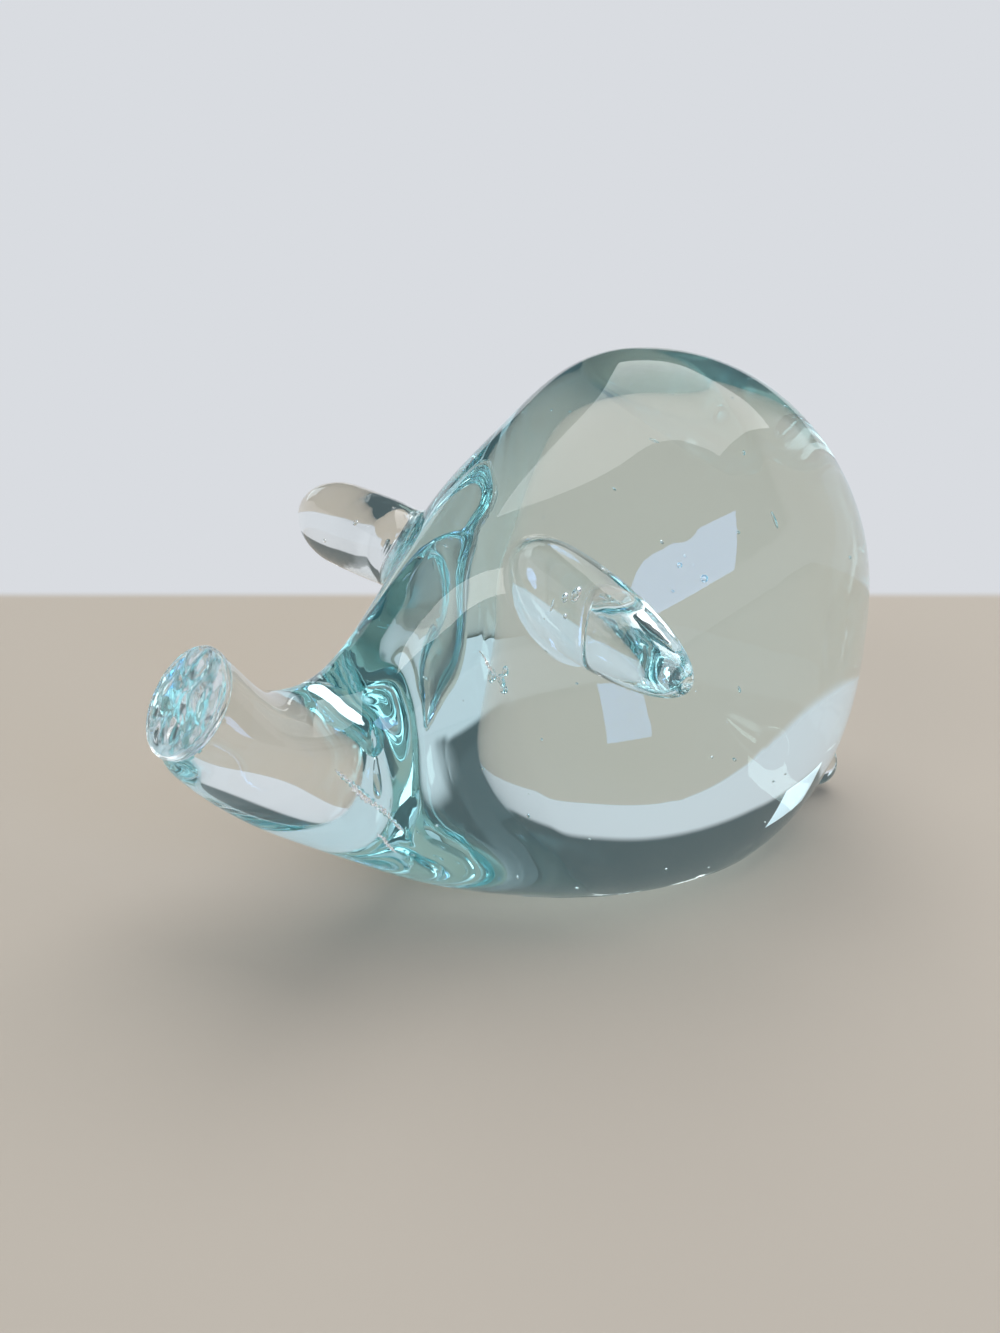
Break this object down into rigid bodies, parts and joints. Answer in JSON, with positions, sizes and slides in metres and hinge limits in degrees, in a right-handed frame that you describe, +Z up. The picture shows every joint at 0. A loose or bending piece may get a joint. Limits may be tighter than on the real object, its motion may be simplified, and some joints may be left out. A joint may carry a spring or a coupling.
{
  "type": "glass pig figurine",
  "caption": "Solid clear glass pig with an upturned snout, outstretched ears and a ground flat base, used as an ornament or paperweight.",
  "frame": {"origin": "on the ground flat underneath, below the widest section of the body", "axes": "+Z up out of the back, -Y towards the snout, +X to the pig's left"},
  "size_m": [0.0811, 0.1083, 0.0706],
  "materials": {
    "body_glass": "fire-polished clear soda-lime glass with a faint blue-green tint and seed bubbles",
    "disc_glass": "clear glass with a wrinkled, chilled face",
    "ear_glass": "fire-polished clear glass, nearly colourless where it is thin",
    "tail_glass": "fire-polished clear glass"
  },
  "bodies": {
    "root": {"body": "body_glass", "snout_disc": "disc_glass", "ear_left": "ear_glass", "ear_right": "ear_glass", "tail": "tail_glass"}
  },
  "joints": []
}
